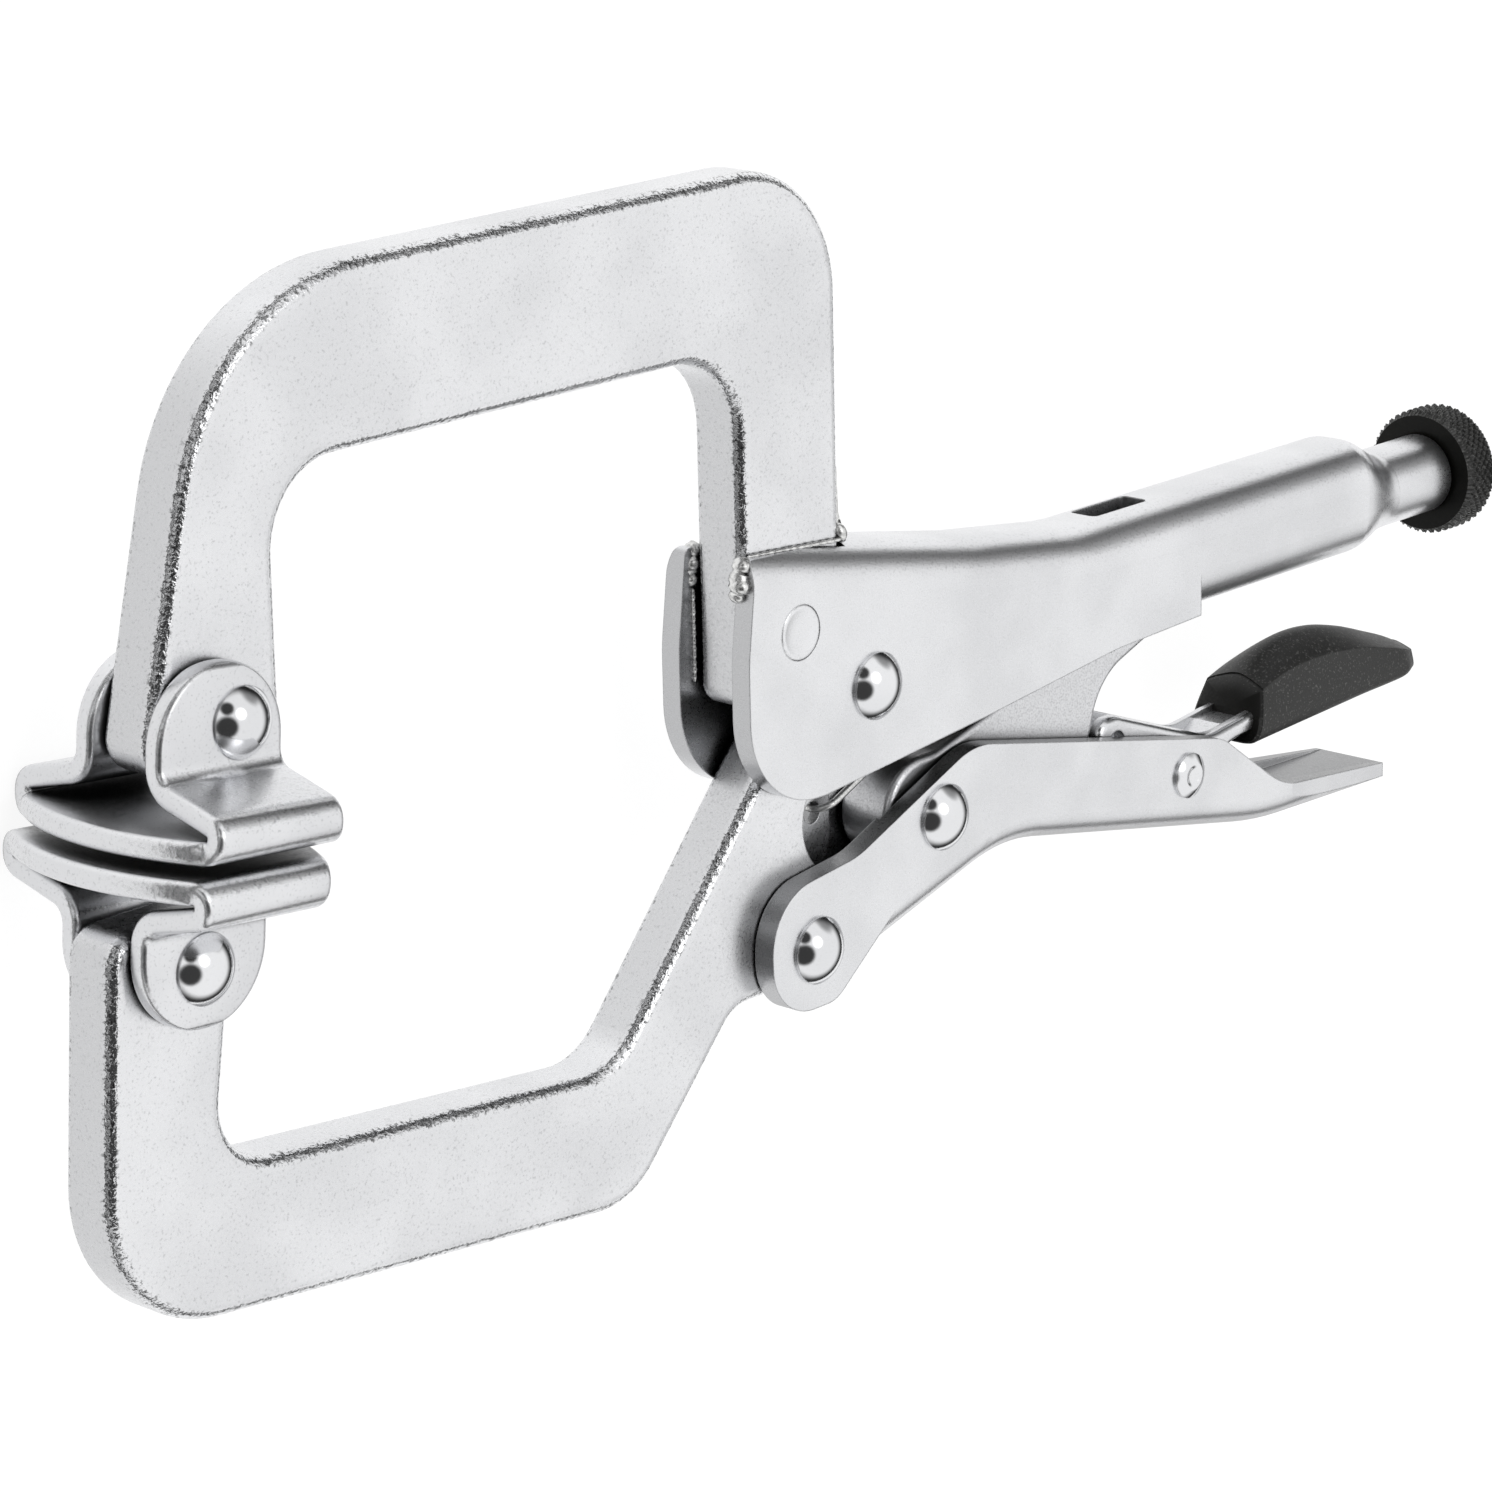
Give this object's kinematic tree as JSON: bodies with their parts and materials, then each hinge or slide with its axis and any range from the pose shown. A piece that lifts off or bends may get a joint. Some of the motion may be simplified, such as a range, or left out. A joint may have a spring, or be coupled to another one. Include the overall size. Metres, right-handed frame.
{
  "type": "locking pliers",
  "caption": "Locking C-clamp pliers: plated steel C-shaped jaws with swivel pads, an over-centre toggle handle, a release lever in a black sleeve and a knurled adjusting knob.",
  "frame": {"origin": "the clamping point, midway between the two pad faces on the tool's middle plane", "axes": "+X from the pads to the knob, +Y from the lower jaw to the upper jaw, +Z along the hinges, up when the tool lies on its side"},
  "size_m": [0.2664, 0.1267, 0.0352],
  "materials": {
    "handle_plating": "satin nickel plating over bent sheet steel",
    "lever_plating": "bright nickel plating over pressed sheet steel",
    "jaw_plating": "satin nickel plating over forged steel, finely speckled",
    "dowel_steel": "plated flush, with a faint ring",
    "weld_steel": "plated weld bead",
    "link_steel": "plated steel plate",
    "sleeve_vinyl": "matte black dipped vinyl",
    "spring_steel": "plain spring wire",
    "screw_steel": "plain rolled thread",
    "knob_oxide": "black oxide, knurled",
    "pad_plating": "bright nickel plating over folded sheet steel",
    "rivet_plating": "bright domed head"
  },
  "bodies": {
    "handle_and_jaw": {"fixed_handle": "handle_plating", "fixed_jaw": "jaw_plating", "jaw_dowel": "dowel_steel", "jaw_pivot_rivet": "rivet_plating", "front_weld_near": "weld_steel", "front_weld_far": "weld_steel", "rear_weld": "weld_steel", "tension_spring": "spring_steel"},
    "lower_jaw": {"moving_jaw": "jaw_plating"},
    "lower_grip": {"lower_handle": "handle_plating", "lower_handle_rivet": "rivet_plating", "link_rivet": "rivet_plating", "lever_rivet": "rivet_plating"},
    "link": {"toggle_link": "link_steel"},
    "lever": {"release_lever": "lever_plating", "lever_sleeve": "sleeve_vinyl"},
    "upper_swivel": {"upper_pad": "pad_plating", "upper_pad_rivet": "rivet_plating"},
    "lower_swivel": {"lower_pad": "pad_plating", "lower_pad_rivet": "rivet_plating"},
    "screw": {"adjusting_screw": "screw_steel"},
    "knob": {"knurled_knob": "knob_oxide"}
  },
  "joints": [
    {"name": "jaw_open", "type": "hinge", "parent": "handle_and_jaw", "child": "lower_jaw", "pos_m": [0.113, -0.0066, 0], "axis": [0, 0, 1], "range_deg": [0, 18], "deforming": ["tension_spring"]},
    {"name": "lower_handle_swing", "type": "hinge", "parent": "lower_jaw", "child": "lower_grip", "pos_m": [0.1008, -0.039, 0], "axis": [0, 0, 1], "range_deg": [-54, 0]},
    {"name": "link_swing", "type": "hinge", "parent": "lower_grip", "child": "link", "pos_m": [0.126, -0.02735, 0], "axis": [0, 0, 1], "range_deg": [0, 61.2]},
    {"name": "lever_press", "type": "hinge", "parent": "lower_grip", "child": "lever", "pos_m": [0.1786, -0.0343, 0], "axis": [0, 0, 1], "range_deg": [-8, 0]},
    {"name": "upper_pad_swivel", "type": "hinge", "parent": "handle_and_jaw", "child": "upper_swivel", "pos_m": [0.00526, 0.01342, 0], "axis": [0, 0, 1], "range_deg": [-4, 4]},
    {"name": "lower_pad_swivel", "type": "hinge", "parent": "lower_jaw", "child": "lower_swivel", "pos_m": [-0.00208, -0.01372, 0], "axis": [0, 0, 1], "range_deg": [-4, 4]},
    {"name": "screw_travel", "type": "slide", "parent": "handle_and_jaw", "child": "screw", "axis": [1, 0, 0], "range_m": [0, 0.02]},
    {"name": "knob_turn", "type": "hinge", "parent": "screw", "child": "knob", "pos_m": [0.2443, -0.0049, 0], "axis": [1, 0, 0], "range_deg": [0, 5760]}
  ],
  "couplings": [
    {"joint": "lower_handle_swing", "follows": "jaw_open", "ratio": -3},
    {"joint": "link_swing", "follows": "jaw_open", "ratio": 3.4},
    {"joint": "knob_turn", "follows": "screw_travel", "rad_per_m": 5026.5}
  ]
}
